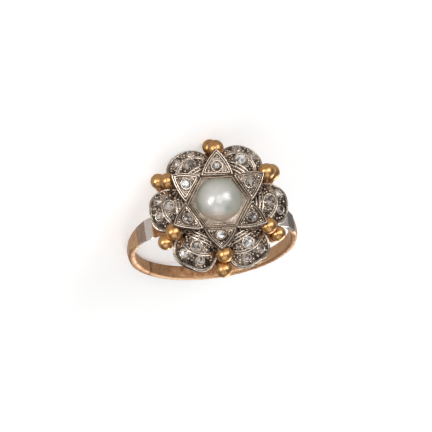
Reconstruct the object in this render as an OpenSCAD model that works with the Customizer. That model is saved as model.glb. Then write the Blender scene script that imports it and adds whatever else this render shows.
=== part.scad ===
// Pearl ring: a round pearl in a six-pointed star, six domed petals set with stones,
// and six pairs of gold beads, on a plain gold shank with white-metal shoulder caps.
// Millimetres. The ring is drawn standing, finger hole along Y and head up,
// and is then laid on its side, where it rests on a bead, a petal and the band.

/* [Shank] */
// radius of the finger hole
bore_r = 8.78; // [7:0.01:11]
// thickness of the band
band_t = 0.88; // [0.5:0.01:2]
// width of the band at the palm
band_w = 1.6; // [1:0.05:5]
// width of the shoulders where they pass under the head
shoulder_w = 3; // [1.5:0.05:6]
// radius of the slight crown on the outside of the band
crown_r = 1.9; // [1:0.05:6]

/* [Shoulder caps] */
// angle from the head at which a cap starts
cap_from = 48; // [30:0.5:52]
// angle of the ridge between its two facets
cap_ridge = 54.5; // [45:0.5:62]
// angle at which a cap ends
cap_to = 64; // [60:0.5:80]
// angle of the ridge on the right cap, which is the longer one
right_ridge = 58; // [50:0.5:62]
// angle at which the right cap ends
right_to = 70; // [60:0.5:80]
// thickness of a cap, and of the shoulders where they stand out beside the band
cap_t = 0.36; // [0.2:0.01:0.6]
// how far the ridge stands over the band
ridge_rise = 0.06; // [0:0.01:0.3]
// seam between two metals, and between stone and metal
seam = 0.04; // [0.02:0.01:0.1]

/* [Gallery plate] */
// height of the star's upper face over the middle of the finger hole
star_z = 12.05; // [10:0.05:16]
// turn of the head on the shank, in degrees
head_turn = -2.2; // [-5:0.1:5]
// depth of the plate's upper face below the star's
plate_drop = 2.5; // [2:0.05:4]
// thickness of the plate
plate_t = 0.4; // [0.3:0.05:1]
// radius of the plate between the petals
plate_r = 6.3; // [5:0.05:7]

/* [Star] */
// distance of the inner corners from the middle
notch_r = 3.6; // [3:0.05:5]
// distance of the tips from the middle
tip_r = 5.9; // [5:0.05:8]
// how far the sides of a point bow out
bow = 0.23; // [0.05:0.01:0.5]
// how far the tips stand over the inner corners
tip_rise = 0.9; // [0:0.05:1.5]
// turn of the star against the petals, in degrees
star_turn = -2.2; // [-5:0.1:5]
// thickness of the sheet
star_t = 0.42; // [0.3:0.01:0.8]
// half the width across flats of the well
well_a = 2.63; // [2.4:0.01:3]
// depth of the well's floor below the star's upper face
well_d = 0.22; // [0:0.01:0.4]
// height of the hexagonal frame round the pearl
frame_rise = 0.16; // [0:0.01:0.4]
// width of the rim round each point
rim_w = 0.27; // [0.1:0.01:0.5]
// depth of the field inside that rim
field_d = 0.13; // [0.05:0.01:0.3]
// girdle radius of the star's stones
star_stone_r = 0.5; // [0.3:0.01:0.7]

/* [Petals] */
// distance of the two side lobes from the middle
lobe_u = 5.95; // [5:0.05:7]
// offset of the side lobes from the petal's axis
lobe_v = 0.6; // [0:0.05:1]
// radius of the side lobes
lobe_r = 1.85; // [1:0.05:3]
// distance of the middle lobe from the middle
mid_u = 5.45; // [5:0.05:7]
// radius of the middle lobe
mid_r = 2.38; // [1:0.01:3]
// distance of the neck's end from the middle
neck_u = 3.72; // [3:0.05:5]
// width of the neck's end
neck_w = 1.5; // [0.5:0.05:3]
// distance of the dome's axis from the middle
dome_u = 5.2; // [4:0.05:6]
// radius of the dome
dome_r = 3; // [2.4:0.05:5]
// depth of the dome's top below the star's upper face
dome_drop = 0.4; // [0:0.05:1]
// height of rim, ridge and ribs over the dome
relief = 0.13; // [0.05:0.01:0.3]
// width of the raised rim
petal_rim_w = 0.2; // [0.1:0.01:0.5]
// middle of the curved ridge, from the middle of the head
ridge_u = 4.1; // [3:0.05:6]
// radius of the curved ridge
ridge_r = 2.35; // [1:0.05:4]
// width of ridge and ribs
ridge_w = 0.17; // [0.1:0.01:0.4]
// width of the collar round each stone
collar_w = 0.15; // [0.08:0.01:0.3]

/* [Beads] */
// radius of the inner beads
bead_in_r = 0.93; // [0.5:0.01:1.5]
// distance of the inner beads from the middle
bead_in_u = 6.08; // [5:0.01:8]
// depth of their middles below the star's upper face
bead_in_drop = 0.52; // [0:0.01:2]
// radius of the outer beads
bead_out_r = 0.88; // [0.5:0.01:1.5]
// distance of the outer beads from the middle
bead_out_u = 7.27; // [6:0.01:9]
// depth of their middles below the star's upper face
bead_out_drop = 1.78; // [0:0.01:3]
// radius of the posts that carry the beads
post_r = 0.5; // [0.3:0.05:0.8]

/* [Pearl] */
// radius of the pearl
pearl_r = 2.55; // [2:0.01:3]
// height of its middle over the star's upper face
pearl_h = 0.26; // [-1:0.01:1]
// radius of the dished seat under it
seat_r = 1.3; // [0.8:0.05:2]

/* [Lying pose] */
// turn about the head's own axis before the ring is laid down
lie_spin = -18.81; // [-40:0.01:40]
// lean that brings the far side of the head down to the floor
lie_lean = -74.08; // [-90:0.01:-50]
// direction in which the head then faces
lie_facing = 180; // [0:1:360]
// shift of the ring so that it rests on the floor over the origin
lie_shift = [0, 2.497, 4.654]; // [-20:0.01:20]

/* [View] */
// node to show, or all

/* [Hidden] */
$fn = 96;
petals = 6;
band_r = bore_r + band_t;
cap_r = band_r - cap_t;
notch_a = notch_r * cos(30);
tip_tilt = atan2(tip_rise, tip_r - notch_a);
point_l = norm([tip_rise, tip_r - notch_a]);
point_half = notch_r / 2 - seam / 2;
point_in = notch_r * point_l / (notch_r + 2 * norm([notch_r / 2, point_l]));
side_l = norm([point_half, point_l]);
bow_r = side_l * side_l / (8 * bow) + bow / 2;
dome_z = -dome_drop - dome_r;

// how far each petal stands out beyond its regular place
PETAL_SHIFT = [-0.08, 0.12, -0.25, -0.32, -0.05, -0.1];

// bead pairs: how far the inner bead stands out, its turn and what is added to its
// radius, and then the same of the outer bead
IN_OUT = 0;
IN_TURN = 1;
IN_GROWN = 2;
OUT_OUT = 3;
OUT_TURN = 4;
OUT_GROWN = 5;
BEAD_PAIRS = [
    [0.5, 1, 0, 0.05, 1, 0.1],
    [0.5, -2.4, -0.03, 0, 1.5, 0],
    [0.05, 0.5, -0.05, -0.05, 0.5, -0.03],
    [-0.05, 0.5, 0, -0.15, 1.5, 0],
    [0, 1, 0, 0.05, 0, 0.04],
    [0, 0, 0, 0, 1, -0.04]
];

// stones of one petal: turn about the dome's axis, angle from it, girdle radius
TURN = 0;
ANGLE = 1;
GIRDLE = 2;
PETAL_STONES = [[0, 10.6, 0.6], [30, 40, 0.42], [-30, 40, 0.42]];

// distances of the ribs across a petal's neck from the middle of the head
RIBS = [4.25, 4.62, 4.99];

// Lays the standing ring on its side.
module lie() {
    translate(lie_shift)
        rotate([0, 0, lie_facing])
            rotate([lie_lean, 0, 0])
                rotate([0, 0, lie_spin])
                    children();
}

// The head's own frame: the star's upper face at zero, one petal along X.
module head() {
    translate([0, 0, star_z])
        rotate([0, 0, head_turn])
            children();
}

// A hexagon with its corners on the petals' axes, given half its width across flats.
module hexagon(a) {
    circle(r = a / cos(30), $fn = 6);
}

// Ring of the given width about the finger hole, drawn standing.
module finger_ring(r_in, r_out, w) {
    rotate([90, 0, 0])
        rotate_extrude()
            translate([r_in, -w / 2])
                square([r_out - r_in, w]);
}

// Plain band with a slightly crowned outside.
module band() {
    rotate([90, 0, 0])
        rotate_extrude()
            intersection() {
                translate([bore_r, -band_w / 2])
                    square([band_t, band_w]);
                translate([band_r - crown_r, 0])
                    circle(r = crown_r);
            }
}

// Plan of the shoulders: they widen from the sides of the ring to the head.
module shoulder_plan() {
    half = shoulder_w / 2;
    polygon([
        [0, half], [5.4, half], [6.9, half * 0.87], [8.8, half * 0.69],
        [band_r + 0.1, band_w / 2 - 0.02],
        [band_r + 0.1, -band_w / 2 + 0.02],
        [8.8, -half * 0.69], [6.9, -half * 0.87], [5.4, -half], [0, -half]
    ]);
}

module shoulder_block(side) {
    mirror([side < 0 ? 1 : 0, 0, 0])
        linear_extrude(band_r + 1)
            shoulder_plan();
}

// Angle of a cap's ridge, and angle at which the cap ends, for the side it is on.
function ridge_at(side) = side < 0 ? cap_ridge : right_ridge;
function cap_end(side) = side < 0 ? cap_to : right_to;

// Wedge of the ring's side view that one cap takes up, seen along the finger hole.
module cap_wedge(side, extra) {
    from = cap_from - extra;
    to = cap_end(side) + extra;
    far = band_r + 3;
    rotate([90, 0, 0])
        linear_extrude(shoulder_w + 2, center = true)
            polygon([
                [0, 0],
                [far * sin(from), far * cos(from)],
                [far * sin((from + to) / 2) * 1.2, far * cos((from + to) / 2) * 1.2],
                [far * sin(to), far * cos(to)]
            ]);
}

// Thin sheet that widens the band towards the head.
module shoulder(side) {
    intersection() {
        finger_ring(cap_r, band_r, shoulder_w + 1);
        shoulder_block(side);
    }
}

// Cut in the shoulder that a cap lies in.
module cap_pocket(side) {
    mirror([side < 0 ? 1 : 0, 0, 0])
        difference() {
            cap_wedge(side, 0.25);
            finger_ring(0, cap_r - seam, shoulder_w + 3);
        }
}

module shank() {
    difference() {
        union() {
            band();
            shoulder(1);
            shoulder(-1);
        }
        cap_pocket(1);
        cap_pocket(-1);
    }
}

module shoulder_cap(side) {
    ridge = ridge_at(side);
    end = cap_end(side);
    mirror([side < 0 ? 1 : 0, 0, 0])
        difference() {
            intersection() {
                cap_wedge(side, 0);
                shoulder_block(1);
                rotate([90, 0, 0])
                    linear_extrude(shoulder_w + 2, center = true)
                        polygon([
                            [0, 0],
                            [(band_r - 0.2) * sin(cap_from - 4), (band_r - 0.2) * cos(cap_from - 4)],
                            [(band_r + ridge_rise) * sin(ridge), (band_r + ridge_rise) * cos(ridge)],
                            [band_r * sin(end), band_r * cos(end)],
                            [band_r * sin(end + 4), band_r * cos(end + 4)]
                        ]);
            }
            finger_ring(0, cap_r, shoulder_w + 3);
        }
}

// Plan of a petal along X, drawn in by the given margin.
module petal_plan(margin) {
    translate([lobe_u, lobe_v])
        circle(r = lobe_r - margin);
    translate([lobe_u, -lobe_v])
        circle(r = lobe_r - margin);
    translate([mid_u, 0])
        circle(r = mid_r - margin);
    polygon([
        [neck_u + margin, neck_w / 2 - margin],
        [5.2, 2.26 - margin],
        [5.2, -2.26 + margin],
        [neck_u + margin, -neck_w / 2 + margin]
    ]);
}

module gallery_plate() {
    linear_extrude(plate_t)
        union() {
            circle(r = plate_r);
            for (i = [0:petals - 1]) {
                rotate(i * 60)
                    translate([PETAL_SHIFT[i], 0])
                        petal_plan(0.25);
                rotate(i * 60 + 30)
                    translate([bead_out_u - 0.55, 0])
                        circle(r = 0.8);
            }
        }
}

module pearl_seat() {
    difference() {
        translate([0, 0, -plate_drop - 0.2])
            cylinder(r = seat_r, h = 0.8);
        translate([0, 0, pearl_h])
            sphere(r = pearl_r + seam);
    }
}

// One inner and one outer bead, soldered together, on a post.
module bead_pair(p) {
    rotate(p[IN_TURN]) {
        translate([bead_in_u + p[IN_OUT], 0, -bead_in_drop])
            sphere(r = bead_in_r + p[IN_GROWN]);
        translate([bead_in_u + p[IN_OUT] - 0.1, 0, -plate_drop - 0.2])
            cylinder(r = post_r, h = plate_drop - bead_in_drop);
    }
    rotate(p[OUT_TURN])
        translate([bead_out_u + p[OUT_OUT], 0, -bead_out_drop])
            sphere(r = bead_out_r + p[OUT_GROWN]);
}

module shank_with_gallery() {
    color("#d8a066") lie() {
        shank();
        head() {
            translate([0, 0, -plate_drop - plate_t])
                gallery_plate();
            pearl_seat();
            for (i = [0:petals - 1]) {
                rotate(i * 60 + 30)
                    bead_pair(BEAD_PAIRS[i]);
            }
        }
    }
}

module shoulder_cap_left() {
    color("#b4aca4") lie()
        shoulder_cap(-1);
}

module shoulder_cap_right() {
    color("#b4aca4") lie()
        shoulder_cap(1);
}

// Frame of one point of the star along X: hinged at the hexagon, tip raised.
module point_frame() {
    translate([notch_a, 0, 0])
        rotate([0, -tip_tilt, 0])
            children();
}

// Disc whose edge is one bowed side of a point, drawn in by the given margin.
module side_disc(side, margin) {
    inwards = (bow_r - bow) / side_l;
    translate([
        point_l / 2 - inwards * point_half,
        side * (point_half / 2 - inwards * point_l)
    ])
        circle(r = bow_r - margin);
}

// Plan of one point with its two bowed sides, drawn in by the given margin.
module point_plan(margin) {
    intersection() {
        side_disc(1, margin);
        side_disc(-1, margin);
        translate([margin, -notch_r])
            square([point_l, 2 * notch_r]);
    }
}

// Plan of one point with the strip that carries it under the hexagon.
module point_sheet() {
    strip = 0.3;
    point_plan(0);
    translate([-strip, strip - point_half])
        square([strip + 0.1, 2 * (point_half - strip)]);
}

module star_point() {
    point_frame() {
        difference() {
            union() {
                difference() {
                    translate([0, 0, -star_t])
                        linear_extrude(star_t)
                            point_sheet();
                    translate([0, 0, -field_d])
                        linear_extrude(1)
                            point_plan(rim_w);
                }
                translate([point_in, 0, -star_t])
                    cylinder(r = star_stone_r + collar_w, h = star_t + 0.02);
            }
            translate([point_in, 0, -1])
                cylinder(r = star_stone_r + seam, h = 2);
        }
    }
}

module star() {
    color("#a79f96") lie() head() rotate(star_turn) {
        difference() {
            union() {
                translate([0, 0, -star_t])
                    linear_extrude(star_t)
                        hexagon(notch_a + seam);
                linear_extrude(frame_rise)
                    hexagon(well_a + 0.28);
                translate([0, 0, -plate_drop + seam])
                    cylinder(r = well_a + 0.06, h = plate_drop - star_t);
                for (i = [0:petals - 1]) {
                    rotate(i * 60 + 30)
                        star_point();
                }
            }
            translate([0, 0, -well_d])
                linear_extrude(well_d + 1)
                    hexagon(well_a);
            translate([0, 0, pearl_h])
                sphere(r = pearl_r + seam);
            translate([0, 0, -plate_drop - 1])
                cylinder(r = pearl_r - 0.25, h = plate_drop + 1 - star_t / 2);
        }
    }
}

// Raised pattern of a petal: rim, curved ridge and ribs across the neck.
module petal_pattern() {
    difference() {
        translate([mid_u, 0])
            square(8, center = true);
        petal_plan(petal_rim_w);
    }
    difference() {
        translate([ridge_u, 0])
            circle(r = ridge_r + ridge_w / 2);
        translate([ridge_u, 0])
            circle(r = ridge_r - ridge_w / 2);
        translate([ridge_u - 5, -5])
            square([6, 10]);
    }
    for (r = RIBS) {
        difference() {
            circle(r = r + ridge_w / 2);
            circle(r = r - ridge_w / 2);
            translate([-10, -5])
                square([10, 10]);
        }
    }
}

// Frame of one stone of a petal: its girdle on the dome, looking out.
module petal_stone_frame(s) {
    translate([dome_u, 0, dome_z])
        rotate([0, 0, PETAL_STONES[s][TURN]])
            rotate([0, PETAL_STONES[s][ANGLE], 0])
                translate([0, 0, dome_r])
                    children();
}

module petal() {
    difference() {
        intersection() {
            translate([0, 0, -plate_drop + seam])
                linear_extrude(plate_drop)
                    petal_plan(0);
            union() {
                translate([dome_u, 0, dome_z])
                    sphere(r = dome_r);
                intersection() {
                    translate([dome_u, 0, dome_z])
                        sphere(r = dome_r + relief);
                    translate([0, 0, -plate_drop])
                        linear_extrude(plate_drop + 1)
                            petal_pattern();
                }
                for (s = [0:len(PETAL_STONES) - 1]) {
                    petal_stone_frame(s)
                        translate([0, 0, -0.4])
                            cylinder(r = PETAL_STONES[s][GIRDLE] + collar_w, h = 0.5);
                }
            }
        }
        for (s = [0:len(PETAL_STONES) - 1]) {
            petal_stone_frame(s)
                translate([0, 0, -PETAL_STONES[s][GIRDLE] * 0.75 - seam])
                    cylinder(r = PETAL_STONES[s][GIRDLE] + seam, h = 2);
        }
    }
}

module petal_at(i) {
    color("#9b938c") lie() head()
        rotate((i - 1) * 60)
            translate([PETAL_SHIFT[i - 1], 0, 0])
                petal();
}

// Single-cut stone: table, eight crown facets, girdle and eight pavilion facets.
module cut_stone(r) {
    translate([0, 0, 0.05])
        cylinder(r1 = r, r2 = r * 0.58, h = r * 0.36, $fn = 8);
    translate([0, 0, -0.01])
        cylinder(r = r, h = 0.06, $fn = 8);
    translate([0, 0, -r * 0.7])
        cylinder(r1 = r * 0.12, r2 = r, h = r * 0.7 - 0.01, $fn = 8);
}

module star_stone(i) {
    color("#e8eef2") lie() head()
        rotate(star_turn + (i - 1) * 60 + 30)
            point_frame()
                translate([point_in, 0, 0])
                    rotate(22.5)
                        cut_stone(star_stone_r);
}

module petal_stone(i, s) {
    color("#e8eef2") lie() head()
        rotate((i - 1) * 60)
            translate([PETAL_SHIFT[i - 1], 0, 0])
                petal_stone_frame(s - 1)
                    rotate(22.5)
                        cut_stone(PETAL_STONES[s - 1][GIRDLE]);
}

module pearl() {
    color("#e6e0d4") lie() head()
        translate([0, 0, pearl_h])
            sphere(r = pearl_r);
}

shank_with_gallery();
shoulder_cap_left();
shoulder_cap_right();
star();
pearl();
for (i = [1:petals]) {
    petal_at(i);
    star_stone(i);
    for (s = [1:3]) {
        petal_stone(i, s);
    }
}
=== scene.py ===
import random
from math import acos, atan2, cos, degrees, exp, hypot, pi, radians, sin, sqrt, tau

import bmesh
import bpy
from mathutils import Matrix, Vector, noise


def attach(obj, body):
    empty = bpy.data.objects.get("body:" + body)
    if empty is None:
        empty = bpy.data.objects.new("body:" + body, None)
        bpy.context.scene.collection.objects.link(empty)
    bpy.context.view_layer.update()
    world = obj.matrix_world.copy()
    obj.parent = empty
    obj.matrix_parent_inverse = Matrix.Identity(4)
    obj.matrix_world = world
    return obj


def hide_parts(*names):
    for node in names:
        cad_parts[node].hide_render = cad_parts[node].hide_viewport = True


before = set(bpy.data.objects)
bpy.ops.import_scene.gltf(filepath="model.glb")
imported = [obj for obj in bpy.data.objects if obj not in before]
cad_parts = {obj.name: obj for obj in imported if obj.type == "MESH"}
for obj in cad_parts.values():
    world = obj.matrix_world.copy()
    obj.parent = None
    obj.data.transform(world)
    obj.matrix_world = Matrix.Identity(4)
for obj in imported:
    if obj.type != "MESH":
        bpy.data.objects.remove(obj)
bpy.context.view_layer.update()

# Shank
# A plain rose-gold band, slightly crowned outside and brushed inside, bent from strip
# and closed with a solder seam. It widens into thin shoulders, which are cut out for
# the two white-metal caps and carry the head.
millimetre = 0.001
lie_spin = -18.81
lie_lean = -74.08
lie_facing = 180
lie_shift = (0, 2.497, 4.654)
ring_place = (
    Matrix.Scale(millimetre, 4)
    @ Matrix.Translation(lie_shift)
    @ Matrix.Rotation(radians(lie_facing), 4, "Z")
    @ Matrix.Rotation(radians(lie_lean), 4, "X")
    @ Matrix.Rotation(radians(lie_spin), 4, "Z")
)
bore_r = 8.78
band_r = 9.66
band_half = 0.8
band_crown_r = 1.9
# distance from the head's axis, and half the width of the shank there
shoulder_plan = [(0, 1.5), (5.4, 1.5), (6.9, 1.305), (8.8, 1.035), (9.76, 0.78)]
# the crown is flattened where the shank is wider than the band, fully from this much on
flat_after = 0.25
flatness = 0.86
# how far the crown drops from the middle of the band to its edges
crown_depth = 0.3
sheet_r = 9.30
pocket_r = 9.26
pocket_from = 47.75
# where each shoulder's pocket ends, and the turned steps that are moved to its walls
pocket_to = {-1: 64.25, 1: 70.25}
pocket_steps = {
    -1: {47: 47.74, 48: 47.78, 64: 64.22, 65: 64.26},
    1: {47: 47.74, 48: 47.78, 70: 70.22, 71: 70.26},
}
solder_seam = -130
# radius that parts the inside of the sheet from its outside
middle_r = 9
# angle from the head past which the band is plain
plain_from = 75
unevenness = 0.012


def on_ring(angle, r):
    """Place in the ring's side view, x and z, at an angle from the head."""
    return r * sin(radians(angle)), r * cos(radians(angle))


def shoulder_half(x, z):
    """Half the width of the shank at a place on its outside."""
    if z < 0:
        return band_half
    for (x0, w0), (x1, w1) in zip(shoulder_plan, shoulder_plan[1:]):
        if abs(x) <= x1:
            return max(band_half, w0 + (w1 - w0) * (abs(x) - x0) / (x1 - x0))
    return band_half


def turned(profile, steps, closed=False):
    """Turns a profile of (radius, height) points about Z, as on a lathe."""
    bm = bmesh.new()
    verts = [bm.verts.new((r, 0, h)) for r, h in profile]
    pairs = list(zip(verts, verts[1:])) + ([(verts[-1], verts[0])] if closed else [])
    edges = [bm.edges.new(pair) for pair in pairs]
    bmesh.ops.spin(
        bm, geom=verts + edges, cent=(0, 0, 0), axis=(0, 0, 1), dvec=(0, 0, 0),
        angle=tau, steps=steps, use_merge=True,
    )
    bmesh.ops.remove_doubles(bm, verts=bm.verts, dist=1e-4)
    bmesh.ops.recalc_face_normals(bm, faces=bm.faces)
    return bm


def make_piece(name, bm, place, material, slot, *nodes, crease=40):
    """Makes a finished piece of a bmesh and lets it stand for the named solids."""
    bmesh.ops.transform(bm, matrix=place, verts=bm.verts)
    mesh = bpy.data.meshes.new(name)
    bm.to_mesh(mesh)
    bm.free()
    mesh.materials.append(material)
    mesh.shade_smooth()
    mesh.set_sharp_from_angle(angle=radians(crease))
    piece = bpy.data.objects.new(name, mesh)
    bpy.context.scene.collection.objects.link(piece)
    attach(piece, "root")
    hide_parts(*nodes)


def node_group(name, takes, gives):
    """Makes a shader group with its sockets, each given by its label and its kind."""
    group = bpy.data.node_groups.new(name, "ShaderNodeTree")
    for way, sockets in (("INPUT", takes), ("OUTPUT", gives)):
        for label, kind in sockets:
            group.interface.new_socket(label, in_out=way, socket_type=f"NodeSocket{kind}")
    return group, group.nodes.new("NodeGroupInput"), group.nodes.new("NodeGroupOutput")


def mixed(tree, share, first, second):
    """Adds a mix of two colours to a node tree, each a socket or one plain colour."""
    mix = tree.nodes.new("ShaderNodeMix")
    mix.data_type = "RGBA"
    tree.links.new(share, mix.inputs["Factor"])
    for index, colour in ((6, first), (7, second)):
        if isinstance(colour, tuple):
            mix.inputs[index].default_value = colour
        else:
            tree.links.new(colour, mix.inputs[index])
    return mix.outputs[2]


def worn_and_shaded_metal_group():
    """Shader group: bright metal, darker where its mask of tarnish and painted shade says, with soft
    stains and fine scratches.
    """
    group, come, go = node_group(
        "worn_and_shaded_metal",
        takes=[("Position", "Vector"), ("Streaks", "Vector"), ("TarnishAndShade", "Float"),
               ("Bright", "Color"), ("Dark", "Color"), ("Stains", "Float"), ("Polish", "Float")],
        gives=[("Color", "Color"), ("Roughness", "Float"), ("Height", "Float")],
    )
    nodes, links = group.nodes, group.links

    def math(operation, a, b, clamp=False):
        node = nodes.new("ShaderNodeMath")
        node.operation = operation
        node.use_clamp = clamp
        for socket, value in zip(node.inputs, (a, b)):
            if isinstance(value, (int, float)):
                socket.default_value = value
            else:
                links.new(value, socket)
        return node.outputs[0]

    def cloud(scale, detail, vector):
        node = nodes.new("ShaderNodeTexNoise")
        node.inputs["Scale"].default_value = scale
        node.inputs["Detail"].default_value = detail
        links.new(vector, node.inputs["Vector"])
        return node.outputs["Fac"]

    large = cloud(scale=1100, detail=2, vector=come.outputs["Position"])
    small = cloud(scale=7000, detail=3, vector=come.outputs["Position"])
    scratch = cloud(scale=700, detail=4, vector=come.outputs["Streaks"])
    spots = math("MULTIPLY", math("SUBTRACT", large, 0.5), come.outputs["Stains"])
    specks = math("MULTIPLY", math("SUBTRACT", small, 0.5), come.outputs["Stains"])
    fine = math("MULTIPLY", math("SUBTRACT", scratch, 0.5), 0.6)
    streaks = math("MULTIPLY", fine, come.outputs["Stains"])
    stains = math("ADD", math("ADD", spots, specks), streaks)
    mask = math("ADD", come.outputs["TarnishAndShade"], stains, clamp=True)
    tint = mixed(group, mask, come.outputs["Bright"], come.outputs["Dark"])
    links.new(tint, go.inputs["Color"])
    rough = math("ADD", come.outputs["Polish"], math("MULTIPLY", mask, 0.22))
    rough = math("ADD", rough, math("MULTIPLY", scratch, 0.16), clamp=True)
    links.new(rough, go.inputs["Roughness"])
    height = math("ADD", math("MULTIPLY", scratch, 0.6), math("MULTIPLY", small, 0.4))
    links.new(height, go.inputs["Height"])
    return group


worn_and_shaded_metal = worn_and_shaded_metal_group()


def metal(name, bright, dark, stains, polish, bump, grain_turn=(0.5, 0.9, 0.3), grain_scale=(1, 1, 0.07)):
    """Material of one metal: the group of wear and painted shade, read at this piece's own mask of
    tarnish and painted shade.
    """
    material = bpy.data.materials.new(name)
    material.use_nodes = True
    nodes, links = material.node_tree.nodes, material.node_tree.links
    shader = nodes["Principled BSDF"]
    shader.inputs["Metallic"].default_value = 1
    where = nodes.new("ShaderNodeTexCoord")
    tarnish_and_shade_layer = nodes.new("ShaderNodeAttribute")
    tarnish_and_shade_layer.attribute_name = "tarnish_and_shade"
    wear_and_shade = nodes.new("ShaderNodeGroup")
    wear_and_shade.node_tree = worn_and_shaded_metal
    wear_and_shade.inputs["Bright"].default_value = bright
    wear_and_shade.inputs["Dark"].default_value = dark
    wear_and_shade.inputs["Stains"].default_value = stains
    wear_and_shade.inputs["Polish"].default_value = polish
    relief = nodes.new("ShaderNodeBump")
    relief.inputs["Strength"].default_value = bump
    relief.inputs["Distance"].default_value = 0.00004
    lay = nodes.new("ShaderNodeMapping")
    lay.vector_type = "TEXTURE"
    lay.inputs["Rotation"].default_value = grain_turn
    lay.inputs["Scale"].default_value = grain_scale
    links.new(where.outputs["Object"], lay.inputs["Vector"])
    links.new(lay.outputs["Vector"], wear_and_shade.inputs["Streaks"])
    links.new(where.outputs["Object"], wear_and_shade.inputs["Position"])
    links.new(tarnish_and_shade_layer.outputs["Fac"], wear_and_shade.inputs["TarnishAndShade"])
    links.new(wear_and_shade.outputs["Color"], shader.inputs["Base Color"])
    links.new(wear_and_shade.outputs["Roughness"], shader.inputs["Roughness"])
    links.new(wear_and_shade.outputs["Height"], relief.inputs["Height"])
    links.new(relief.outputs["Normal"], shader.inputs["Normal"])
    return material


def near_side_shade(turn):
    """How much painted shade darkens the near side face of the band: it is left bright only beside the
    palm.
    """
    palm, fade = 193, 40
    return 0.5 * min(1, abs((turn % 360) - palm) / fade)


def inner_shade(turn):
    """How much painted shade darkens the inside of the band: most of all across from the head."""
    palm, fade = 190, 50
    return 0.7 * max(0, 1 - (abs((turn % 360) - palm) / fade) ** 2)


round_the_finger = (ring_place @ Matrix.Rotation(radians(90), 4, "X")).to_euler()
rose_gold = metal(
    "rose_gold", bright=(0.80, 0.50, 0.285, 1), dark=(0.30, 0.13, 0.055, 1),
    stains=1.1, polish=0.28, bump=0.8,
    grain_turn=round_the_finger, grain_scale=(0.08, 0.08, 1),
)

half_profile = [
    (bore_r, 0), (bore_r, 0.25), (bore_r, 0.45), (bore_r + 0.03, 0.58), (bore_r + 0.09, 0.68),
    (bore_r + 0.18, 0.75), (bore_r + 0.29, 0.79), (bore_r + 0.4, band_half),
    (pocket_r - 0.03, band_half), (sheet_r, band_half), (9.42, band_half), (9.51, 0.75),
]
for across in (0.66, 0.5, 0.34, 0.17, 0):
    drop = band_crown_r - sqrt(band_crown_r**2 - across**2)
    half_profile.append((band_r - drop, across))
shank_profile = half_profile + [(r, -y) for r, y in half_profile[-2:0:-1]]
shank = turned(shank_profile, steps=360, closed=True)
bmesh.ops.rotate(shank, verts=shank.verts, matrix=Matrix.Rotation(radians(90), 3, "X"))
darker = shank.verts.layers.float.new("tarnish_and_shade")
for v in shank.verts:
    turn = round(degrees(atan2(v.co.x, v.co.z)))
    side = -1 if turn < 0 else 1
    r, y = hypot(v.co.x, v.co.z), v.co.y
    angle = pocket_steps[side].get(abs(turn), abs(turn))
    half = shoulder_half(*on_ring(angle, band_r))
    spread = min(1, (half - band_half) / flat_after)
    if r > pocket_r and pocket_from < angle < pocket_to[side]:
        r = pocket_r
    elif r > pocket_r:
        drop = max(0, band_r - r)
        y *= half / band_half
        if drop < crown_depth:
            r += spread * flatness * (drop - 1.4 * drop**2)
    r += unevenness * noise.noise(Vector((side * angle * 0.12, y, r * 0.3)))
    if turn == solder_seam:
        r += 0.03 if r < middle_r else -0.03
        v[darker] = 1
    elif abs(turn - solder_seam) == 1:
        v[darker] = 0.5
    # painted shade on the outside of the shoulders, darkest towards the head, where they run in under it
    elif r > middle_r and angle < pocket_from + 1:
        v[darker] = min(1, (pocket_from + 1 - angle) / 3)
    # painted shade on the band's near side face, away from the palm
    elif y < -0.75 * band_half and angle > plain_from:
        v[darker] = near_side_shade(turn)
    # painted shade inside the band, across from the head
    elif r < bore_r + 0.12 and angle > plain_from:
        v[darker] = inner_shade(turn)
    x, z = on_ring(side * angle, r)
    v.co = (x, y, z)
bmesh.ops.recalc_face_normals(shank, faces=shank.faces)
make_piece("band", shank, ring_place, rose_gold, "gold", "shank_with_gallery")

# Gallery plate
# A scalloped gold plate under the head, sawn from sheet and soldered onto the top of
# the shank. The petals stand on it, and a dished seat in its middle takes the pearl.
star_z = 12.05
head_turn = -2.2
head_place = (
    ring_place
    @ Matrix.Translation((0, 0, star_z))
    @ Matrix.Rotation(radians(head_turn), 4, "Z")
)
plate_top = -2.5
plate_t = 0.4
plate_r = 6.3
# how far the plate stays inside the petals that stand on it
plate_margin = 0.25
# place and radius of the plate's tabs under the beads
tab_u = 6.72
tab_r = 0.8
petal_shift = [-0.08, 0.12, -0.25, -0.32, -0.05, -0.1]
# the discs that make up a petal's plan: middle and radius
petal_discs = [(5.95, 0.6, 1.85), (5.95, -0.6, 1.85), (5.45, 0, 2.38)]


def reach(start, angle, discs):
    """How far it is from start to the last edge of the discs in one direction."""
    far = 0
    for x, y, radius in discs:
        ahead = (x - start[0]) * cos(angle) + (y - start[1]) * sin(angle)
        aside = (x - start[0]) * sin(angle) - (y - start[1]) * cos(angle)
        if abs(aside) < radius:
            far = max(far, ahead + sqrt(radius**2 - aside**2))
    return far


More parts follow.
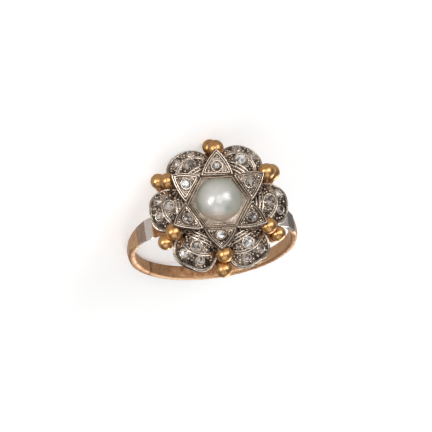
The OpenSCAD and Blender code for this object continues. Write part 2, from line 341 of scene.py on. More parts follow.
def loft(rings):
    """Skins a chain of rings of (x, y, z, darkness) points: one circle, extruded on. The darkness holds
    tarnish and painted shade.
    """
    bm = bmesh.new()
    order = bm.verts.layers.int.new("order")
    tarnish_and_shade = bm.verts.layers.float.new("tarnish_and_shade")
    ring = bmesh.ops.create_circle(bm, segments=len(rings[0]), radius=1)["verts"]
    for i, v in enumerate(ring):
        v[order] = i
    edges = list(bm.edges)
    for count, points in enumerate(rings):
        if count:
            grown = bmesh.ops.extrude_edge_only(bm, edges=edges)["geom"]
            ring = [g for g in grown if isinstance(g, bmesh.types.BMVert)]
            new = set(ring)
            edges = list(dict.fromkeys(e for v in ring for e in v.link_edges if e.other_vert(v) in new))
        for v in ring:
            v.co = points[v[order]][:3]
            v[tarnish_and_shade] = points[v[order]][3]
    bm.verts.layers.int.remove(order)
    bmesh.ops.remove_doubles(bm, verts=bm.verts, dist=1e-4)
    bmesh.ops.recalc_face_normals(bm, faces=bm.faces)
    return bm


def add_part(bm, part, place=Matrix()):
    """Joins another bmesh into this one, at its place."""
    bmesh.ops.transform(part, matrix=place, verts=part.verts)
    mesh = bpy.data.meshes.new("part")
    part.to_mesh(mesh)
    part.free()
    bm.from_mesh(mesh)
    bpy.data.meshes.remove(mesh)


plate_discs = [(0, 0, plate_r)]
for i in range(6):
    petal_turn = Matrix.Rotation(radians(60 * i), 2)
    for x, y, radius in petal_discs:
        disc_middle = petal_turn @ Vector((x + petal_shift[i], y))
        plate_discs.append((*disc_middle, radius - plate_margin))
    bead_turn = Matrix.Rotation(radians(60 * i + 30), 2)
    plate_discs.append((*(bead_turn @ Vector((tab_u, 0))), tab_r))
# distance from the plate's edge, where 9 reaches its middle, then the height over its
# face, and how dark the metal is there
plate_rows = [
    (9, 0, 0.9), (0.1, 0, 0.9), (0.03, -0.02, 0.6), (0, -0.06, 0.3), (0, 0.06 - plate_t, 0),
    (0.03, 0.02 - plate_t, 0), (0.1, -plate_t, 0.1), (9, -plate_t, 0.2),
]
plate_steps = 288
plate_rings = []
for inset, z, dark in plate_rows:
    points = []
    for k in range(plate_steps):
        angle = tau * k / plate_steps
        out = max(0, reach((0, 0), angle, plate_discs) - inset)
        points.append((out * cos(angle), out * sin(angle), plate_top + z, dark))
    plate_rings.append(points)
gallery = loft(plate_rings)
seat_r = 1.3
seat_profile = [
    (0, -2.31), (0.6, -2.24), (1.0, -2.12), (1.24, -2.0), (seat_r, -2.02),
    (seat_r, -2.45), (seat_r + 0.06, -2.52), (0, -2.52),
]
add_part(gallery, turned(seat_profile, steps=48))
make_piece("gallery_plate", gallery, head_place, rose_gold, "gold", "shank_with_gallery")

# Gold beads
# Six pairs of polished yellow-gold beads between the petals: an inner one under each
# tip of the star and an outer one below it, drop-shaped where solder joins them, each
# pair on a round post that is soldered to the gallery plate.
bead_in_r = 0.93
bead_in_u = 6.08
bead_in_z = -0.52
bead_out_r = 0.88
bead_out_u = 7.27
bead_out_z = -1.78
bead_steps = 26
# how far the solder runs up each bead beside their joint, and how it fills the groove
solder_turn = 0.1
solder_fill = 0.035
joint_half = 0.09
# how far the inner bead stands out, its turn in degrees and what is added to its
# radius, and then the same of the outer bead
bead_pairs = [
    (0.5, 1, 0, 0.05, 1, 0.1), (0.5, -2.4, -0.03, 0, 1.5, 0), (0.05, 0.5, -0.05, -0.05, 0.5, -0.03),
    (-0.05, 0.5, 0, -0.15, 1.5, 0), (0, 1, 0, 0.05, 0, 0.04), (0, 0, 0, 0, 1, -0.04),
]
post_r = 0.5
post_u = 5.98
post_top = -0.9
post_profile = [
    (0, -2.53), (post_r + 0.03, -2.53), (post_r + 0.02, -2.44), (post_r, -2.3),
    (post_r, post_top), (0, post_top),
]
yellow_gold = metal(
    "yellow_gold", bright=(0.69, 0.385, 0.16, 1), dark=(0.14, 0.05, 0.02, 1),
    stains=2.2, polish=0.2, bump=0.6,
)
# the vector noise starts from the clock unless it is given a seed
noise.seed_set(7)
for i, (in_out, in_turn, in_grown, out_out, out_turn, out_grown) in enumerate(bead_pairs):
    axis = radians(30 + 60 * i)
    a, b = axis + radians(in_turn), axis + radians(out_turn)
    in_u, out_u = bead_in_u + in_out, bead_out_u + out_out
    inner = Vector((in_u * cos(a), in_u * sin(a), bead_in_z))
    outer = Vector((out_u * cos(b), out_u * sin(b), bead_out_z))
    in_r, out_r = bead_in_r + in_grown, bead_out_r + out_grown
    between = (outer - inner).length
    joint = (between**2 + in_r**2 - out_r**2) / (2 * between)
    neck = sqrt(in_r**2 - joint**2)
    last = pi - acos(joint / in_r) - solder_turn
    first = acos((between - joint) / out_r) + solder_turn
    profile = []
    for k in range(bead_steps + 1):
        t = last * k / bead_steps
        profile.append((in_r * sin(t), -in_r * cos(t)))
    profile.append((neck + solder_fill, joint))
    for k in range(bead_steps + 1):
        t = first + (pi - first) * k / bead_steps
        profile.append((out_r * sin(t), between - out_r * cos(t)))
    pair = turned(profile, steps=56)
    lean = (outer - inner).to_track_quat("Z", "Y").to_matrix().to_4x4()
    bmesh.ops.transform(pair, matrix=Matrix.Translation(inner) @ lean, verts=pair.verts)
    tarnish_and_shade = pair.verts.layers.float.new("tarnish_and_shade")
    middle = inner.lerp(outer, joint / between)
    for v in pair.verts:
        v.co += unevenness * noise.noise_vector(v.co * 0.8 + Vector((i * 7, 0, 0)))
        v[tarnish_and_shade] = 0.9 * exp(-(((v.co - middle).length - neck) / joint_half) ** 2)
    stand = (post_u + in_out) * Vector((cos(a), sin(a), 0))
    add_part(pair, turned(post_profile, steps=40), Matrix.Translation(stand))
    make_piece(f"bead_pair_{i + 1}", pair, head_place, yellow_gold, "gold", "shank_with_gallery")

# Shoulder caps
# White-metal plates let into the shoulders beside the head and soldered there, each
# filed to two facets that meet in a ridge across the shank.
cap_from = 48
cap_corner_r = 0.5
cap_margin = 0.01
cap_edge_w = 0.05
ridge_rise = 0.06
# the grid that a cap is bent from, and which of its columns lies on the ridge
cap_columns = 32
cap_lines = 12
ridge_column = 13
# side and name of a cap, the angles of its ridge and its end, how much painted shade
# darkens its lower facet, and the colour of that painted shade, which its stains take too
caps = [
    (-1, "left", 54.5, 64, 0.9, (0.42, 0.30, 0.23, 1)),
    (1, "right", 58, 70, 1, (0.20, 0.18, 0.17, 1)),
]


def cap_height(angle, line):
    """Distance of a cap's two facets from the middle of the ring, at an angle."""
    for (a0, r0), (a1, r1) in zip(line, line[1:]):
        if angle <= a1 + 1e-6:
            (x0, z0), (x1, z1) = on_ring(a0, r0), on_ring(a1, r1)
            across = Vector((z1 - z0, x0 - x1))
            return across.dot((x0, z0)) / across.dot(on_ring(angle, 1))


for side, name, cap_ridge, cap_to, lower_facet_shade, shade_and_wear_tone in caps:
    cap_metal = metal(
        f"cap_metal_{name}", bright=(0.80, 0.74, 0.70, 1), dark=shade_and_wear_tone,
        stains=0.7, polish=0.24, bump=0.5,
    )
    cap_line = [(cap_from - 4, band_r - 0.2), (cap_ridge, band_r + ridge_rise), (cap_to, band_r)]
    cap = bmesh.new()
    bmesh.ops.create_grid(cap, x_segments=cap_columns, y_segments=cap_lines, size=1)
    ridge_at = 2 * ridge_column / cap_columns - 1
    facet_shade = cap.verts.layers.float.new("tarnish_and_shade")
    for v in cap.verts:
        s, t = v.co.x, v.co.y
        # the lower facet is painted darker than the other one, as painted shade
        v[facet_shade] = 0.1 if s < ridge_at - 0.01 else lower_facet_shade
        if s <= ridge_at:
            angle = cap_from + (cap_ridge - cap_from) * (s + 1) / (ridge_at + 1)
        else:
            angle = cap_ridge + (cap_to - cap_ridge) * (s - ridge_at) / (1 - ridge_at)
        x, z = on_ring(angle, cap_height(angle, cap_line))
        half = shoulder_half(x, z) - cap_margin
        corner = 1 - min(1, band_r * radians(angle - cap_from) / cap_corner_r)
        half -= cap_corner_r * (1 - sqrt(1 - corner**2))
        v.co = (side * x, t * half, z)
    top = list(cap.faces)
    grown = bmesh.ops.extrude_face_region(cap, geom=top, use_keep_orig=True)["geom"]
    for v in [g for g in grown if isinstance(g, bmesh.types.BMVert)]:
        k = sheet_r / hypot(v.co.x, v.co.z)
        v.co = (v.co.x * k, v.co.y, v.co.z * k)
    bmesh.ops.recalc_face_normals(cap, faces=cap.faces)
    rim = [e for e in cap.edges if e.is_manifold and e.calc_face_angle(0) > radians(50)]
    bmesh.ops.bevel(cap, geom=rim, offset=cap_edge_w, offset_type="OFFSET", affect="EDGES",
                    segments=3, profile=0.5, material=-1, clamp_overlap=True)
    make_piece(
        f"{name}_cap_plate", cap, ring_place, cap_metal, "white_metal", f"shoulder_cap_{name}",
        crease=14,
    )

# Star
# White-metal star on a round tube: a hexagonal frame holds the pearl, and six raised
# triangular points stand round it, each with a double thread along its bowed sides, a
# sunk field with grains in the corners, and a collet with a small stone.
notch_r = 3.6
tip_r = 5.9
tip_rise = 0.9
notch_a = notch_r * cos(radians(30))
tip_tilt = atan2(tip_rise, tip_r - notch_a)
point_l = hypot(tip_rise, tip_r - notch_a)
point_half = 1.78
star_turn = -2.2
star_t = 0.42
star_stone_r = 0.5
bow = 0.23
side_l = hypot(point_half, point_l)
bow_r = side_l**2 / (8 * bow) + bow / 2
inwards = (bow_r - bow) / side_l
point_in = notch_r * point_l / (notch_r + 2 * hypot(notch_r / 2, point_l))
side_middle = (point_l / 2 - inwards * point_half, point_half / 2 - inwards * point_l)
white_metal = metal(
    "white_metal", bright=(0.83, 0.715, 0.61, 1), dark=(0.08, 0.055, 0.038, 1),
    stains=1.2, polish=0.17, bump=0.9,
)


def point_edge(angle, margin):
    """Distance from the stone of a point to the point's edge, drawn in by a margin."""
    start = (point_in, 0)
    x, y = side_middle
    far = min(reach(start, angle, [(x, k * y, bow_r - margin)]) for k in (-1, 1))
    if cos(angle) < 0:
        far = min(far, (point_in - margin) / -cos(angle))
    return far


grain_shape = bmesh.new()
bmesh.ops.create_uvsphere(grain_shape, u_segments=8, v_segments=6, radius=1)


def grain(bm, middle, radius):
    """Adds one small round grain of metal, raised from the surface with a graver."""
    add_part(bm, grain_shape.copy(), Matrix.Translation(middle) @ Matrix.Scale(radius, 4))


corner = atan2(point_half, -point_in)
point_angles = [corner * k / 32 for k in range(-32, 32)]
point_angles += [corner + (tau - 2 * corner) * k / 32 for k in range(32)]
# how far a point's sunk field stays from its edge, and from the stone
field_margin = 0.43
collet_w = 0.17
# distance from the edge or from the stone, or share of the way between the two, then
# the height, and how dark the metal is there
point_rows = [
    ("edge", 0, -0.07, 0.8), ("edge", 0.02, -0.02, 0.2), ("edge", 0.05, 0, 0), ("edge", 0.08, 0, 0),
    ("edge", 0.11, -0.03, 0.3), ("edge", 0.13, -0.12, 1), ("edge", 0.22, -0.12, 1),
    ("edge", 0.24, -0.03, 0.3), ("edge", 0.27, 0, 0), ("edge", 0.30, 0, 0),
    ("edge", 0.33, -0.03, 0.3), ("edge", 0.36, -0.14, 1), ("edge", field_margin, -0.15, 1),
    ("mix", 0.6, -0.15, 0.85), ("mix", 0.25, -0.15, 0.85), ("stone", collet_w, -0.14, 1),
    ("stone", 0.155, -0.04, 0.4), ("stone", 0.12, 0.03, 0), ("stone", 0.07, 0.035, 0),
    ("stone", 0.035, 0, 0.4), ("stone", 0.04, -star_t, 0.9), ("edge", 0, -star_t, 1),
    ("edge", 0, -0.07, 0.8),
]
# steps inwards over the hexagonal frame: their width, how far they rise, and how dark
frame_steps = [
    (0.05, -0.07, 1), (0.13, 0, 1), (0.02, 0.2, 0.3), (0.03, 0.03, 0), (0.07, 0, 0),
    (0.03, -0.09, 1), (0.09, 0, 1), (0.03, 0.09, 0.2), (0.07, 0, 0),
    (0.03, -0.05, 0.4), (0.02, -0.12, 0.7), (0.04, 0, 0.45),
]
frame_r = 3.66
tube_profile = [
    (2.69, -0.38), (2.69, -2.40), (2.65, -2.46), (2.35, -2.46), (2.3, -2.4), (2.3, -0.38),
]
# grains in a point's corners and beside its stone: angle, distance and radius
field_grains = [
    (0, 1.12, 0.14), (0, 1.42, 0.09), (corner, 1.08, 0.14), (-corner, 1.08, 0.14),
    (corner, 1.34, 0.09), (-corner, 1.34, 0.09), (0.32, 0.92, 0.09), (-0.32, 0.92, 0.09),
    (corner - 0.3, 0.9, 0.09), (0.3 - corner, 0.9, 0.09), (corner + 0.3, 0.9, 0.09),
    (-0.3 - corner, 0.9, 0.09),
]
star_claws = 4
star_claw_out = 0.52
star_claw_r = 0.085
star = bmesh.new()
bmesh.ops.create_circle(star, cap_ends=True, segments=6, radius=frame_r,
                        matrix=Matrix.Rotation(radians(30), 4, "Z"))
skirt = bmesh.ops.extrude_face_region(star, geom=list(star.faces), use_keep_orig=True)["geom"]
skirt_verts = [g for g in skirt if isinstance(g, bmesh.types.BMVert)]
bmesh.ops.translate(star, vec=(0, 0, -star_t), verts=skirt_verts)
frame_top = [f for f in star.faces if f.calc_center_median().z > -0.01][0]
star_recess = star.verts.layers.float.new("tarnish_and_shade")
for width, rise, dark in frame_steps:
    bmesh.ops.inset_individual(
        star, faces=[frame_top], thickness=width, depth=rise, use_even_offset=True,
    )
    for v in frame_top.verts:
        v[star_recess] = dark
add_part(star, turned(tube_profile, steps=96, closed=True))
for i in range(6):
    rows = []
    for kind, value, z, dark in point_rows:
        row = []
        for angle in point_angles:
            edge = point_edge(angle, value if kind == "edge" else field_margin)
            stone = star_stone_r + collet_w
            share = stone + (edge - stone) * value
            out = {"edge": edge, "stone": star_stone_r + value, "mix": share}[kind]
            row.append((point_in + out * cos(angle), out * sin(angle), z, dark))
        rows.append(row)
    point = loft(rows)
    grains = bmesh.new()
    picked = random.Random(40 + i)
    for angle, out, radius in field_grains:
        angle += picked.uniform(-0.05, 0.05)
        spot = (point_in + out * cos(angle), out * sin(angle), -0.12)
        grain(grains, spot, radius * picked.uniform(0.85, 1.15))
    for k in range(star_claws):
        angle = tau * (k + 0.5) / star_claws + picked.uniform(-0.1, 0.1)
        spot = (point_in + star_claw_out * cos(angle), star_claw_out * sin(angle), 0.06)
        grain(grains, spot, star_claw_r)
    place = (
        Matrix.Rotation(radians(star_turn + 30 + 60 * i), 4, "Z")
        @ Matrix.Translation((notch_a, 0, 0))
        @ Matrix.Rotation(-tip_tilt, 4, "Y")
    )
    add_part(point, grains)
    add_part(star, point, place)
make_piece("star_setting", star, head_place, white_metal, "white_metal", "star")

# Petals
# Six domed white-metal petals between the star's points, cast and then engraved: a
# double thread along the edge, fine ribs across the neck, a curved double ridge between
# the large stone and the two small ones, and grains raised all over the ground.
dome_u = 5.2
dome_middle = Vector((dome_u, 0, -3.4))
dome_r = 3.0
petal_floor = -2.46
# the neck: its length from the dome's axis, and half its width at its end and its root
neck_l = 1.48
neck_half = 0.75
neck_root_half = 2.26
# distance of each thread of the rim from the petal's edge, and half its width
rim_threads = [(0.06, 0.055), (0.18, 0.05)]
rim_w = 0.24
rim_h = 0.12
# the curved ridge: its middle, its radius, where it starts, and its threads' places on it
ridge_u = 4.1
ridge_r = 2.35
ridge_from = 5.1
ridge_half = 0.22
ridge_foot = 0.04
ridge_h = 0.1
ridge_threads = [(-0.12, 0.085), (0.1, 0.1)]
ribs = [4.25, 4.62, 4.99]
rib_half = 0.14
rib_h = 0.14
# stones of a petal: turn about the dome's axis, angle from it, and girdle radius
petal_stones = [(0, 10.6, 0.6), (30, 40, 0.42), (-30, 40, 0.42)]
stone_axes = []
for turn, angle, girdle in petal_stones:
    turn, angle = radians(turn), radians(angle)
    stone_axes.append((Vector((sin(angle) * cos(turn), sin(angle) * sin(turn), cos(angle))), girdle))
# section of a collet: distance from the stone's girdle, and height
collet_section = [
    (0.02, -0.4), (0.02, 0.03), (0, 0.075), (0.03, 0.10), (0.08, 0.10), (0.13, 0.05),
    (0.16, -0.02), (0.18, -0.4),
]
collet_out = 0.13
petal_claw_r = 0.095
# how far the foot stands in from the outline, as a share of the way from the dome's axis
foot_share = 0.97
# the loose grains of the ground: how many places are tried, and their radii
grain_tries = 500
grain_radii = (0.10, 0.17)


def petal_edge(angle):
    """Distance from the dome's axis to the edge of a petal."""
    far = reach((dome_u, 0), angle, petal_discs)
    if cos(angle) < 0:
        slope = (neck_root_half - neck_half) / neck_l
        neck_side = neck_root_half / (abs(sin(angle)) - slope * cos(angle))
        far = max(far, min(-neck_l / cos(angle), neck_side))
    return far


def thread(distance, half):
    """Height of a rounded thread, from 1 in its middle to 0 at half its width."""
    return max(0, 1 - (distance / half) ** 2) ** 0.5 if abs(distance) < half else 0


def petal_relief(x, y, inset):
    """Height of the engraving over the dome, and how dark the metal is there."""
    rim = max(thread(inset - at, half) for at, half in rim_threads)
    if inset < rim_w:
        return rim_h * rim, 1 - 0.95 * rim
    from_ridge = hypot(x - ridge_u, y) - ridge_r
    if x > ridge_from and abs(from_ridge) < ridge_half:
        ridge = max(thread(from_ridge - at, half) for at, half in ridge_threads)
        return ridge_foot + ridge_h * ridge, 1 - ridge
    rib = max(thread(hypot(x, y) - at, rib_half) for at in ribs)
    if rib > 0:
        return rib_h * rib, 0.9 - 1.1 * rib
    return 0, 0.8


def off_axis(up, axis):
    """Distance of a place on the dome from the axis of a stone."""
    return (up - axis * up.dot(axis)).length * dome_r


def on_petal(x, y, lift):
    """Point of a petal's dome over a place in its plan, raised by a lift."""
    flat = min(0.999, hypot(x - dome_u, y) / dome_r)
    up = Vector(((x - dome_u) / dome_r, y / dome_r, sqrt(1 - flat**2)))
    for axis, girdle in stone_axes:
        if up.dot(axis) > 0 and off_axis(up, axis) < girdle + 0.06:
            lift = -0.75 * girdle
    return dome_middle + up * (dome_r + lift)


petal_steps = 208
petal_angles = [tau * k / petal_steps for k in range(petal_steps)]
# the step nearest to each corner of the neck is moved onto it
neck_corner = atan2(neck_half, -neck_l)
for corner_angle in (neck_corner, tau - neck_corner):
    near = min(range(petal_steps), key=lambda k: abs(petal_angles[k] - corner_angle))
    petal_angles[near] = corner_angle
petal_outline = [(cos(a), sin(a), petal_edge(a)) for a in petal_angles]
# insets of the rows of points over the rim, and the number of rows inside it
rim_insets = [0, 0.02, 0.05, 0.08, 0.11, 0.14, 0.17, 0.20, 0.23]
ground_rows = 46
petal_metal = metal(
    "petal_metal", bright=(0.64, 0.545, 0.46, 1), dark=(0.035, 0.024, 0.017, 1),
    stains=1.2, polish=0.14, bump=0.8,
)
for i in range(6):
    picked = random.Random(900 + i)
    underside, foot, wall, brim = [], [], [], []
    # the foot, the wall and the brim's edge are painted dark: painted shade under the dome's edge
    for along, aside, edge in petal_outline:
        x, y = dome_u + edge * along, edge * aside
        underside.append((dome_u, 0, petal_floor, 0.8))
        foot_r = foot_share * edge
        foot.append((dome_u + foot_r * along, foot_r * aside, petal_floor, 1))
        wall.append((x, y, petal_floor + 0.05, 1))
        brim.append((*on_petal(x, y, -0.12), 0.9))
    rows = [underside, foot, wall, brim]
    for count in range(len(rim_insets) + ground_rows):
        row = []
        for along, aside, edge in petal_outline:
            if count < len(rim_insets):
                inset = rim_insets[count]
            else:
                inset = rim_w + (edge - rim_w) * (count - len(rim_insets)) / (ground_rows - 1)
            x, y = dome_u + (edge - inset) * along, (edge - inset) * aside
            lift, dark = petal_relief(x, y, inset)
            if inset > rim_w and lift == 0:
                lift = 0.025 * noise.noise(Vector((x * 5, y * 5, i * 3)))
            row.append((*on_petal(x, y, lift), dark))
        rows.append(row)
    petal = loft(rows)
    grains = bmesh.new()
    for axis, girdle in stone_axes:
        collet = turned([(girdle + out, z) for out, z in collet_section], steps=40, closed=True)
        lean = axis.to_track_quat("Z", "Y").to_matrix().to_4x4()
        stand = Matrix.Translation(dome_middle + axis * dome_r) @ lean
        add_part(petal, collet, stand)
        claws = 6 if girdle > 0.5 else 4
        for k in range(claws):
            angle = tau * (k + 0.5) / claws + picked.uniform(-0.12, 0.12)
            out = girdle + 0.02
            claw = stand @ Vector((out * cos(angle), out * sin(angle), 0.09))
            grain(grains, claw, petal_claw_r)
    sown = []
    for attempt in range(grain_tries):
        a, share = picked.uniform(0, tau), sqrt(picked.random())
        edge = petal_edge(a)
        out = share * edge
        x, y = dome_u + out * cos(a), out * sin(a)
        radius = picked.uniform(*grain_radii)
        place = on_petal(x, y, 0.02)
        up = (place - dome_middle).normalized()
        if edge - out < rim_w + 0.03 + radius * 0.7 or petal_relief(x, y, edge - out)[0] > 0:
            continue
        if any(off_axis(up, axis) < girdle + collet_out + radius for axis, girdle in stone_axes):
            continue
        if any((place - other).length < 1.1 * (radius + size) for other, size in sown):
            continue
        sown.append((place, radius))
        grain(grains, place, radius)
    add_part(petal, grains)
    turn = Matrix.Rotation(radians(60 * i), 4, "Z")
    place = head_place @ turn @ Matrix.Translation((petal_shift[i], 0, 0))
    make_piece(f"petal_setting_{i + 1}", petal, place, petal_metal, "white_metal", f"petal_{i + 1}")

# Stones
# Twenty-four small single-cut stones, one in each point of the star and three in each
# petal. The solids keep their shape and get the look of clear, old cut stones, with painted glints: their
# facets are painted lit or dark by turns, and whole stones are painted lighter or darker.
# painted glints: small cells of a stone's surface are painted dark or bright, the bright share set per
# stone
facets, come, go = node_group(
    "facet_flashes",
    takes=[("Position", "Vector"), ("Dark", "Color"), ("Bright", "Color"), ("Share", "Float")],
    gives=[("Color", "Color"), ("Roughness", "Float")],
)
nodes, links = facets.nodes, facets.links
cells = nodes.new("ShaderNodeTexVoronoi")
cells.inputs["Scale"].default_value = 3600
cell_value = nodes.new("ShaderNodeSeparateColor")
lit = nodes.new("ShaderNodeMath")
lit.operation = "ADD"
lit_mask = nodes.new("ShaderNodeMapRange")
lit_mask.inputs["From Min"].default_value = 0.8
lit_mask.inputs["From Max"].default_value = 1.2
haze = nodes.new("ShaderNodeMapRange")
haze.inputs["To Min"].default_value = 0.04
haze.inputs["To Max"].default_value = 0.2
links.new(come.outputs["Position"], cells.inputs["Vector"])
links.new(cells.outputs["Color"], cell_value.inputs["Color"])
links.new(cell_value.outputs["Red"], lit.inputs[0])
links.new(come.outputs["Share"], lit.inputs[1])
links.new(lit.outputs[0], lit_mask.inputs["Value"])
flash = mixed(facets, lit_mask.outputs["Result"], come.outputs["Dark"], come.outputs["Bright"])
links.new(flash, go.inputs["Color"])
links.new(cell_value.outputs["Green"], haze.inputs["Value"])
links.new(haze.outputs["Result"], go.inputs["Roughness"])


def stone_look(name, dark, bright, share):
    """Material of one kind of stone: glass whose facets are painted lit or dark by turns, as painted
    glints.
    """
    material = bpy.data.materials.new(name)
    material.use_nodes = True
    nodes, links = material.node_tree.nodes, material.node_tree.links
    shader = nodes["Principled BSDF"]
    shader.inputs["IOR"].default_value = 2.2
    shader.inputs["Transmission Weight"].default_value = 0.3
    where = nodes.new("ShaderNodeTexCoord")
    cut = nodes.new("ShaderNodeGroup")
    cut.node_tree = facets
    cut.inputs["Dark"].default_value = dark
    cut.inputs["Bright"].default_value = bright
    cut.inputs["Share"].default_value = share
    links.new(where.outputs["Object"], cut.inputs["Position"])
    links.new(cut.outputs["Color"], shader.inputs["Base Color"])
    links.new(cut.outputs["Roughness"], shader.inputs["Roughness"])
    return material


# each stone is painted half lit, lit or shaded as a whole
half_lit_stone = stone_look("half_lit_stone", (0.10, 0.078, 0.062, 1), (0.64, 0.56, 0.50, 1), 0.5)
lit_stone = stone_look("lit_stone", (0.16, 0.155, 0.155, 1), (0.97, 0.96, 0.94, 1), 0.62)
shaded_stone = stone_look("shaded_stone", (0.05, 0.035, 0.027, 1), (0.60, 0.53, 0.47, 1), 0.32)
stone_kinds = {
    "star_stone_3": lit_stone, "star_stone_5": lit_stone, "petal_stone_6_1": lit_stone,
    "petal_stone_2_1": lit_stone, "petal_stone_1_2": lit_stone, "petal_stone_5_3": lit_stone,
    "star_stone_1": shaded_stone, "star_stone_4": shaded_stone, "star_stone_6": shaded_stone,
    "petal_stone_1_3": shaded_stone, "petal_stone_5_2": shaded_stone, "petal_stone_4_3": shaded_stone,
}
for name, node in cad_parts.items():
    if "stone" in name:
        node.data.materials.clear()
        node.data.materials.append(stone_kinds.get(name, half_lit_stone))

# Pearl
# One round pearl, cemented into the hexagonal frame: a slightly uneven skin with a few
# dimples, cream to grey-green, under a soft clear lustre. It is darkened with painted shade away from its
# lit side, and its shaded side has brown bands, partly the nacre's layers and partly a painted reflection
# of the metal.
pearl_middle = Vector((0, 0, 0.26))
pearl_r = 2.55
# direction of each dimple's middle, its width and its depth
dimples = [
    (Vector((-0.09, -0.37, 0.92)).normalized(), 0.3, 0.03),
    (Vector((-0.2, 0.28, 0.9)).normalized(), 0.3, 0.015),
]
# directions from the pearl's middle, in the head's own frame
shaded_side = Vector((-0.01, -0.93, -0.37))
green_spot = Vector((0.28, -0.66, 0.69))
lit_side = Vector((-0.09, -0.37, 0.92))
pearl = bmesh.new()
bmesh.ops.create_icosphere(pearl, subdivisions=6, radius=pearl_r)
layers = pearl.verts.layers.float.new("layers")
rim = pearl.verts.layers.float.new("rim")
spot = pearl.verts.layers.float.new("spot")
for v in pearl.verts:
    up = v.co.normalized()
    lift = unevenness * (noise.noise(up * 2.2) - 0.5)
    for centre, width, depth in dimples:
        lift -= depth * exp(-((up - centre).length * pearl_r / width) ** 2)
    v.co = pearl_middle + up * (pearl_r + lift)
    # brown bands on the shaded side: partly the nacre's layers, partly a painted reflection of the metal
    # below
    below = min(1, max(0, (up.dot(shaded_side) + 0.04 * noise.noise(up * 4) - 0.36) / 0.36))
    v[layers] = below * (0.7 + 0.3 * sin(up.dot(shaded_side) * 40))
    # painted shade: the skin darkens away from the lit side
    v[rim] = 0.9 * min(1, max(0, (0.93 - up.dot(lit_side)) / 0.7))
    v[spot] = 0.6 * exp(-((up - green_spot).length / 0.17) ** 2)
nacre = bpy.data.materials.new("nacre")
nacre.use_nodes = True
nodes, links = nacre.node_tree.nodes, nacre.node_tree.links
nacre_shader = nodes["Principled BSDF"]
nacre_shader.inputs["Coat Weight"].default_value = 1
nacre_shader.inputs["Coat Roughness"].default_value = 0.29
nacre_shader.inputs["Coat IOR"].default_value = 2.2
nacre_shader.inputs["Subsurface Weight"].default_value = 0.15
nacre_shader.inputs["Subsurface Radius"].default_value = (0.0008, 0.0007, 0.0005)
nacre_where = nodes.new("ShaderNodeTexCoord")
nacre_cloud = nodes.new("ShaderNodeTexNoise")
nacre_cloud.inputs["Scale"].default_value = 420
nacre_cloud.inputs["Detail"].default_value = 3
nacre_tint = nodes.new("ShaderNodeValToRGB")
nacre_tint.color_ramp.elements[0].position = 0.32
nacre_tint.color_ramp.elements[0].color = (0.37, 0.38, 0.33, 1)
nacre_tint.color_ramp.elements[1].position = 0.62
nacre_tint.color_ramp.elements[1].color = (0.55, 0.525, 0.505, 1)
nacre_gloss = nodes.new("ShaderNodeMapRange")
nacre_gloss.inputs["To Min"].default_value = 0.22
nacre_gloss.inputs["To Max"].default_value = 0.38
links.new(nacre_where.outputs["Object"], nacre_cloud.inputs["Vector"])
links.new(nacre_cloud.outputs["Fac"], nacre_tint.inputs["Fac"])
links.new(nacre_cloud.outputs["Fac"], nacre_gloss.inputs["Value"])
# the skin turns to each colour as far as the pearl's layer of that name says: rim is painted shade, and
# layers is partly nacre bands and partly a painted reflection of the metal below
skin_colours = [
    ("rim", (0.22, 0.235, 0.155, 1)), ("layers", (0.44, 0.32, 0.22, 1)),
    ("spot", (0.22, 0.29, 0.25, 1)),
]
skin = nacre_tint.outputs["Color"]
for layer, colour in skin_colours:
    share = nodes.new("ShaderNodeAttribute")
    share.attribute_name = layer
    skin = mixed(nacre.node_tree, share.outputs["Fac"], skin, colour)
links.new(skin, nacre_shader.inputs["Base Color"])
links.new(nacre_gloss.outputs["Result"], nacre_shader.inputs["Roughness"])
make_piece("round_pearl", pearl, head_place, nacre, "pearl", "pearl")

# Floor, light and camera
# The ring lies on a plain white sweep under soft studio light: soft boxes to the left
# and right of the camera, a small one beside it and one above the ring, and behind it
# a card that throws no shadow. The camera is rolled, as the photograph is.
floor_half = 4
floor = bmesh.new()
bmesh.ops.create_grid(floor, x_segments=1, y_segments=1, size=floor_half)
floor_mesh = bpy.data.meshes.new("floor")
floor.to_mesh(floor_mesh)
floor.free()
sweep = bpy.data.objects.new("floor", floor_mesh)
bpy.context.scene.collection.objects.link(sweep)
paper = bpy.data.materials.new("white_paper")
paper.use_nodes = True
nodes, links = paper.node_tree.nodes, paper.node_tree.links
paper_shader = nodes["Principled BSDF"]
paper_seen = nodes.new("ShaderNodeLightPath").outputs["Is Camera Ray"]
paper_tone = mixed(paper.node_tree, paper_seen, (0.60, 0.575, 0.55, 1), (0.93, 0.93, 0.93, 1))
paper_glow = nodes.new("ShaderNodeMath")
paper_glow.operation = "MULTIPLY"
paper_glow.inputs[1].default_value = 0.23
links.new(paper_seen, paper_glow.inputs[0])
links.new(paper_tone, paper_shader.inputs["Base Color"])
links.new(paper_glow.outputs[0], paper_shader.inputs["Emission Strength"])
paper_shader.inputs["Roughness"].default_value = 0.9
paper_shader.inputs["Specular IOR Level"].default_value = 0.1
paper_shader.inputs["Emission Color"].default_value = (1, 1, 1, 1)
floor_mesh.materials.append(paper)

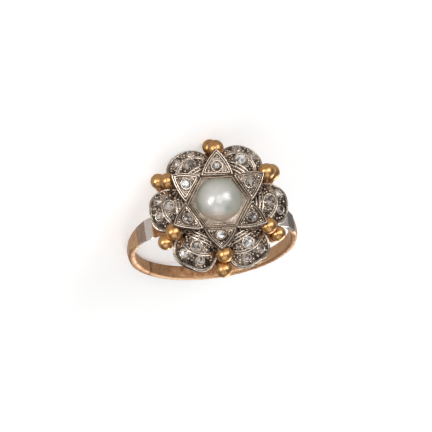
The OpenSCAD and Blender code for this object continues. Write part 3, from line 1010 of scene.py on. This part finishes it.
# the picture's own axes, as the camera was fitted to the photograph
to_camera = Vector((0.21887, -0.80152, 0.55647))
picture_up = Vector((-0.38913, -0.59468, -0.70351))
picture_right = picture_up.cross(to_camera)
camera_place = (0.087156, -0.324031, 0.228263)
star_middle = head_place.to_translation()


def soft_box(name, aim, distance, size, power, shadow=True):
    """A square area light, seen from the star to the right, up and towards the camera."""
    data = bpy.data.lights.new(name, "AREA")
    data.shape = "SQUARE"
    data.size = size
    data.energy = power
    data.use_shadow = shadow
    lamp = bpy.data.objects.new(name, data)
    right, up, nearer = aim
    away = (picture_right * right + picture_up * up + to_camera * nearer).normalized()
    lamp.location = star_middle + away * distance
    lamp.visible_camera = False
    lamp.rotation_mode = "QUATERNION"
    lamp.rotation_quaternion = away.to_track_quat("Z", "Y")
    bpy.context.scene.collection.objects.link(lamp)


soft_box("box_left", aim=(-0.73, 0.10, 0.68), distance=0.6, size=0.42, power=3.2)
soft_box("box_right", aim=(0.62, 0.34, 0.70), distance=0.6, size=0.34, power=1.45)
soft_box("box_front", aim=(0.10, 0.15, 0.98), distance=0.5, size=0.3, power=0.68)
soft_box("box_above", aim=(0.05, -0.80, 0.60), distance=0.7, size=0.7, power=1.4)
soft_box("card_behind", aim=(0.50, -0.60, -0.60), distance=0.8, size=0.7, power=4.2, shadow=False)
world = bpy.data.worlds.new("studio")
world.use_nodes = True
nodes, links = world.node_tree.nodes, world.node_tree.links
seen = nodes.new("ShaderNodeLightPath").outputs["Is Camera Ray"]
room = mixed(world.node_tree, seen, (0.2, 0.2, 0.2, 1), (0.95, 0.95, 0.95, 1))
links.new(room, nodes["Background"].inputs["Color"])
bpy.context.scene.world = world
bpy.context.scene.view_settings.view_transform = "Standard"

camera_data = bpy.data.cameras.new("camera")
camera_data.sensor_width = 36
camera_data.lens = 299.6
camera_data.clip_start = 0.01
camera_data.clip_end = 20
camera = bpy.data.objects.new("camera", camera_data)
turned_camera = Matrix((picture_right, picture_up, to_camera)).transposed().to_4x4()
camera.matrix_world = Matrix.Translation(camera_place) @ turned_camera
bpy.context.scene.collection.objects.link(camera)
bpy.context.scene.camera = camera
